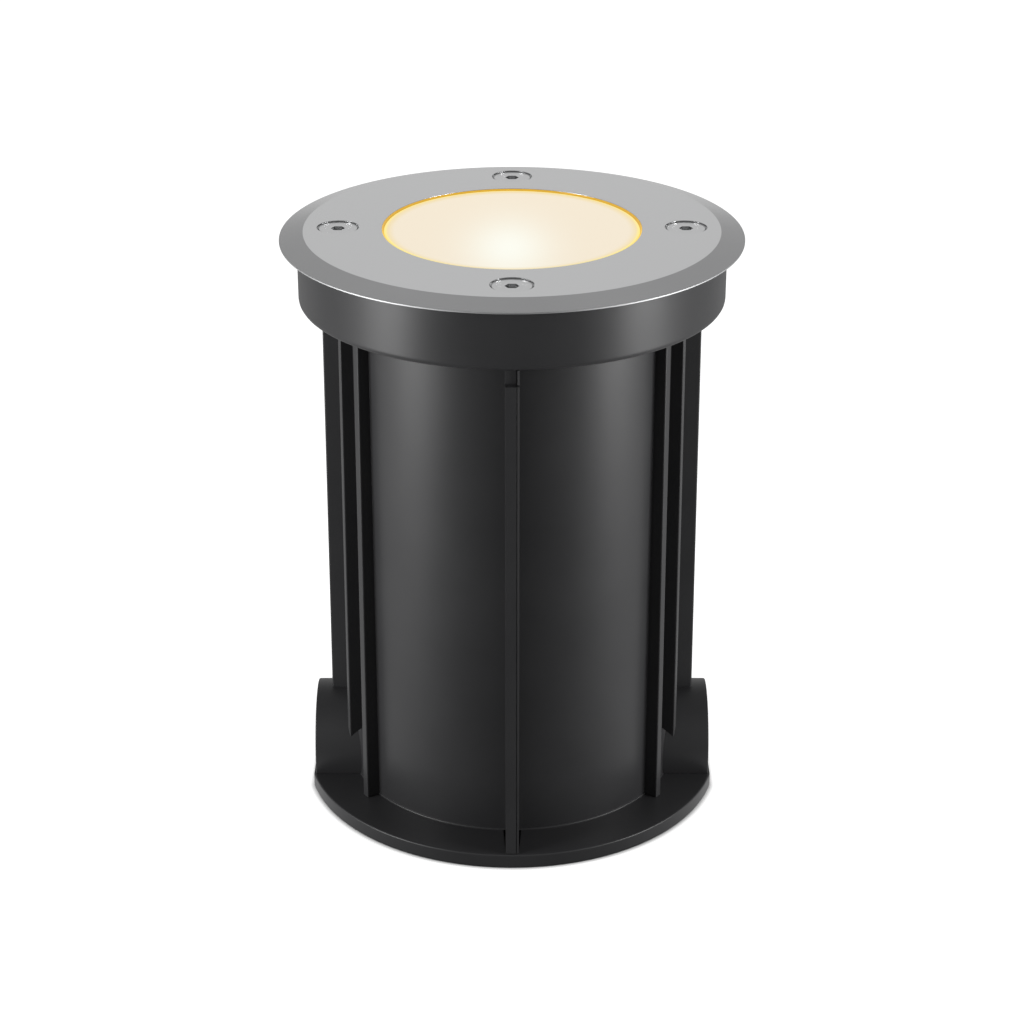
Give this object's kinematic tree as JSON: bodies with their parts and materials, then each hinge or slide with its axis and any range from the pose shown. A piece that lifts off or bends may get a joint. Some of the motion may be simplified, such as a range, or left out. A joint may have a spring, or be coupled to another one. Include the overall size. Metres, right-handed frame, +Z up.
{
  "type": "in-ground well light",
  "caption": "Round in-ground uplight: steel cover ring with frosted glass on a black ribbed ground sleeve with cable ports, and a sealed lamp housing inside.",
  "frame": {"origin": "centre of the base plate's underside, on the surface it stands on", "axes": "+Z up along the light's axis, -Y to the front rib that faces the picture, +X to the right cable port"},
  "size_m": [0.15, 0.15, 0.1974],
  "materials": {
    "cover_steel": "fine satin stainless steel",
    "screw_steel": "machined stainless steel",
    "frosted_glass": "satin etched, lit warm from below",
    "clear_silicone": "translucent silicone",
    "collar_plastic": "satin black",
    "sleeve_plastic": "matt to satin black",
    "brass": "machined",
    "nickel": "nickel plated",
    "small_steel": "machined stainless steel",
    "zinc_steel": "zinc plated sheet",
    "housing_aluminium": "die cast",
    "bright_aluminium": "polished, spun",
    "lamp_glass": "clear, lightly diffusing",
    "white_ceramic": "unglazed",
    "white_plastic": "moulded",
    "gland_plastic": "moulded nylon",
    "seal_rubber": "smooth",
    "lead_silicone": "silicone insulation"
  },
  "bodies": {
    "sleeve": {"base_plate": "sleeve_plastic", "sleeve_tube": "sleeve_plastic", "sleeve_screws": "small_steel", "collar": "collar_plastic", "threaded_inserts": "brass"},
    "insert": {"housing_barrel": "housing_aluminium", "housing_base": "housing_aluminium", "base_seal": "seal_rubber", "base_screws": "small_steel", "cover_gasket": "seal_rubber", "reflector": "bright_aluminium", "lamp_holder": "white_ceramic", "holder_screws": "small_steel", "holder_contacts": "brass", "lamp_bracket": "zinc_steel", "bracket_screws": "small_steel", "terminal_block": "white_plastic", "terminal_screws": "brass", "lamp_leads": "lead_silicone", "earth_screw": "brass", "breather_plug": "gland_plastic", "gland_body_front": "gland_plastic", "gland_body_rear": "gland_plastic", "gland_orings": "seal_rubber", "gland_locknuts": "gland_plastic", "gland_seal_front": "seal_rubber", "gland_seal_rear": "seal_rubber"},
    "cover": {"cover_ring": "cover_steel", "glass": "frosted_glass", "glass_bead": "clear_silicone", "glass_seal": "clear_silicone"},
    "screw_front": {"screw_front": "screw_steel"},
    "screw_back": {"screw_back": "screw_steel"},
    "screw_left": {"screw_left": "screw_steel"},
    "screw_right": {"screw_right": "screw_steel"},
    "lamp": {"lamp_shell": "bright_aluminium", "lamp_lens": "lamp_glass", "lamp_neck": "white_ceramic", "lamp_pins": "nickel"},
    "gland_nut_front": {"gland_nut_front": "gland_plastic"},
    "gland_nut_rear": {"gland_nut_rear": "gland_plastic"}
  },
  "joints": [
    {"name": "insert_lift", "type": "slide", "parent": "sleeve", "child": "insert", "axis": [0, 0, 1], "range_m": [0, 0.17]},
    {"name": "cover_lift", "type": "slide", "parent": "insert", "child": "cover", "axis": [0, 0, 1], "range_m": [0, 0.05]},
    {"name": "screw_front_lift", "type": "slide", "parent": "cover", "child": "screw_front", "axis": [0, 0, 1], "range_m": [0, 0.025]},
    {"name": "screw_back_lift", "type": "slide", "parent": "cover", "child": "screw_back", "axis": [0, 0, 1], "range_m": [0, 0.025]},
    {"name": "screw_left_lift", "type": "slide", "parent": "cover", "child": "screw_left", "axis": [0, 0, 1], "range_m": [0, 0.025]},
    {"name": "screw_right_lift", "type": "slide", "parent": "cover", "child": "screw_right", "axis": [0, 0, 1], "range_m": [0, 0.025]},
    {"name": "lamp_twist", "type": "hinge", "parent": "insert", "child": "lamp", "pos_m": [0, 0, 0.104], "axis": [0, 0, 1], "range_deg": [0, 35]},
    {"name": "gland_nut_front_turn", "type": "hinge", "parent": "insert", "child": "gland_nut_front", "pos_m": [0, -0.022, 0.042], "axis": [0, 0, 1], "range_deg": [0, 300]},
    {"name": "gland_nut_rear_turn", "type": "hinge", "parent": "insert", "child": "gland_nut_rear", "pos_m": [0, 0.022, 0.042], "axis": [0, 0, 1], "range_deg": [0, 300]}
  ]
}
